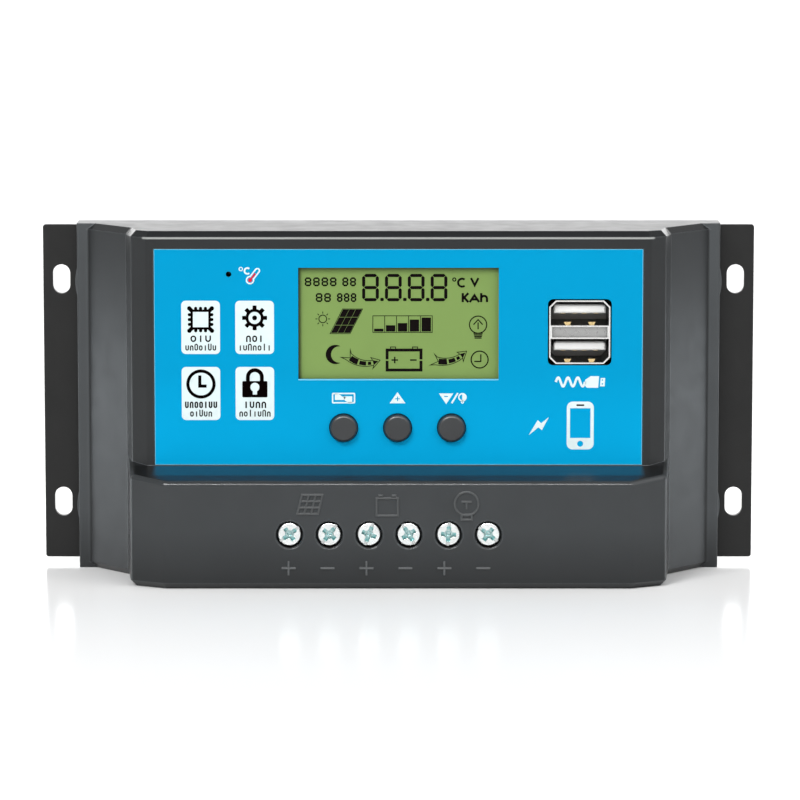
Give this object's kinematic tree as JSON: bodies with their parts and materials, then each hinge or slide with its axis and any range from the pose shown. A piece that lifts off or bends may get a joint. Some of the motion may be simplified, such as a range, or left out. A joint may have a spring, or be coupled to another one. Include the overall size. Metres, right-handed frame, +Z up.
{
  "type": "charge controller",
  "caption": "Wall-mounted solar charge controller: black stepped case on a slotted plate, blue film, display, push buttons, stacked USB sockets, screw terminals.",
  "frame": {"origin": "centre of the bounding box's bottom: midway between the flanges, on the case's underside", "axes": "+X to the right seen from the front, the front faces -Y and the wall is at +Y, +Z up"},
  "size_m": [0.156, 0.036, 0.076],
  "materials": {
    "plate_black": "satin black baked enamel on steel",
    "screw_black": "black oxide steel",
    "case_black": "fine-grained black ABS",
    "film_blue": "blue printed polycarbonate film, satin",
    "sensor_bead": "black epoxy bead",
    "socket_steel": "nickel plated, stamped",
    "socket_white": "white moulded plastic",
    "contact_gold": "gold plated spring contacts",
    "display_glass": "yellow-green display behind a satin polariser",
    "light_guide": "tinted acrylic",
    "frame_white": "white moulded plastic",
    "tinned_steel": "tinned",
    "board_green": "green solder mask on glass-fibre board",
    "post_nylon": "natural nylon",
    "header_black": "black moulded plastic",
    "chip_black": "black epoxy moulding",
    "can_aluminium": "drawn aluminium can",
    "choke_ferrite": "ferrite ring with enamelled winding",
    "pad_grey": "grey silicone pad",
    "spacer_brass": "turned brass",
    "block_grey": "dark grey polyamide",
    "contact_brass": "tinned brass",
    "button_grey": "dark grey silicone-coated cap",
    "zinc_steel": "bright zinc plated, clear passivated"
  },
  "bodies": {
    "root": {"back_plate": "plate_black", "case_screws": "screw_black", "front_case": "case_black", "printed_film": "film_blue", "temperature_sensor": "sensor_bead", "socket_shell": "socket_steel", "socket_cores": "socket_white", "socket_contacts": "contact_gold", "display_glass": "display_glass", "display_light_guide": "light_guide", "display_frame": "frame_white", "display_pins": "tinned_steel", "power_board": "board_green", "control_board": "board_green", "board_posts": "post_nylon", "board_header": "header_black", "control_chips": "chip_black", "capacitors": "can_aluminium", "choke": "choke_ferrite", "current_shunts": "tinned_steel", "power_transistors": "chip_black", "thermal_pad": "pad_grey", "transistor_screws": "tinned_steel", "board_spacers": "spacer_brass", "board_screws": "tinned_steel", "terminal_block": "block_grey", "terminal_contacts": "contact_brass", "switch_body_menu": "chip_black", "switch_body_up": "chip_black", "switch_body_down": "chip_black"},
    "button_menu": {"button_cap_menu": "button_grey", "switch_plunger_menu": "header_black"},
    "button_up": {"button_cap_up": "button_grey", "switch_plunger_up": "header_black"},
    "button_down": {"button_cap_down": "button_grey", "switch_plunger_down": "header_black"},
    "clamp_1": {"wire_clamp_1": "zinc_steel"},
    "screw_1": {"terminal_screw_1": "zinc_steel"},
    "clamp_2": {"wire_clamp_2": "zinc_steel"},
    "screw_2": {"terminal_screw_2": "zinc_steel"},
    "clamp_3": {"wire_clamp_3": "zinc_steel"},
    "screw_3": {"terminal_screw_3": "zinc_steel"},
    "clamp_4": {"wire_clamp_4": "zinc_steel"},
    "screw_4": {"terminal_screw_4": "zinc_steel"},
    "clamp_5": {"wire_clamp_5": "zinc_steel"},
    "screw_5": {"terminal_screw_5": "zinc_steel"},
    "clamp_6": {"wire_clamp_6": "zinc_steel"},
    "screw_6": {"terminal_screw_6": "zinc_steel"}
  },
  "joints": [
    {"name": "menu_press", "type": "slide", "parent": "root", "child": "button_menu", "axis": [0, 1, 0], "range_m": [0, 0.0005], "stiffness_N_per_m": 4000},
    {"name": "up_press", "type": "slide", "parent": "root", "child": "button_up", "axis": [0, 1, 0], "range_m": [0, 0.0005], "stiffness_N_per_m": 4000},
    {"name": "down_press", "type": "slide", "parent": "root", "child": "button_down", "axis": [0, 1, 0], "range_m": [0, 0.0005], "stiffness_N_per_m": 4000},
    {"name": "clamp_1_travel", "type": "slide", "parent": "root", "child": "clamp_1", "axis": [0, 1, 0], "range_m": [-0.0007, 0.0042]},
    {"name": "screw_1_turn", "type": "hinge", "parent": "clamp_1", "child": "screw_1", "pos_m": [-0.0233, -0.0143, 0.01185], "axis": [0, 1, 0], "range_deg": [-360, 2160]},
    {"name": "clamp_2_travel", "type": "slide", "parent": "root", "child": "clamp_2", "axis": [0, 1, 0], "range_m": [-0.0007, 0.0042]},
    {"name": "screw_2_turn", "type": "hinge", "parent": "clamp_2", "child": "screw_2", "pos_m": [-0.0148, -0.0143, 0.01185], "axis": [0, 1, 0], "range_deg": [-360, 2160]},
    {"name": "clamp_3_travel", "type": "slide", "parent": "root", "child": "clamp_3", "axis": [0, 1, 0], "range_m": [-0.0007, 0.0042]},
    {"name": "screw_3_turn", "type": "hinge", "parent": "clamp_3", "child": "screw_3", "pos_m": [-0.0063, -0.0143, 0.01185], "axis": [0, 1, 0], "range_deg": [-360, 2160]},
    {"name": "clamp_4_travel", "type": "slide", "parent": "root", "child": "clamp_4", "axis": [0, 1, 0], "range_m": [-0.0007, 0.0042]},
    {"name": "screw_4_turn", "type": "hinge", "parent": "clamp_4", "child": "screw_4", "pos_m": [0.0022, -0.0143, 0.01185], "axis": [0, 1, 0], "range_deg": [-360, 2160]},
    {"name": "clamp_5_travel", "type": "slide", "parent": "root", "child": "clamp_5", "axis": [0, 1, 0], "range_m": [-0.0007, 0.0042]},
    {"name": "screw_5_turn", "type": "hinge", "parent": "clamp_5", "child": "screw_5", "pos_m": [0.0107, -0.0143, 0.01185], "axis": [0, 1, 0], "range_deg": [-360, 2160]},
    {"name": "clamp_6_travel", "type": "slide", "parent": "root", "child": "clamp_6", "axis": [0, 1, 0], "range_m": [-0.0007, 0.0042]},
    {"name": "screw_6_turn", "type": "hinge", "parent": "clamp_6", "child": "screw_6", "pos_m": [0.0192, -0.0143, 0.01185], "axis": [0, 1, 0], "range_deg": [-360, 2160]}
  ],
  "couplings": [
    {"joint": "screw_1_turn", "follows": "clamp_1_travel", "rad_per_m": 8976},
    {"joint": "screw_2_turn", "follows": "clamp_2_travel", "rad_per_m": 8976},
    {"joint": "screw_3_turn", "follows": "clamp_3_travel", "rad_per_m": 8976},
    {"joint": "screw_4_turn", "follows": "clamp_4_travel", "rad_per_m": 8976},
    {"joint": "screw_5_turn", "follows": "clamp_5_travel", "rad_per_m": 8976},
    {"joint": "screw_6_turn", "follows": "clamp_6_travel", "rad_per_m": 8976}
  ]
}
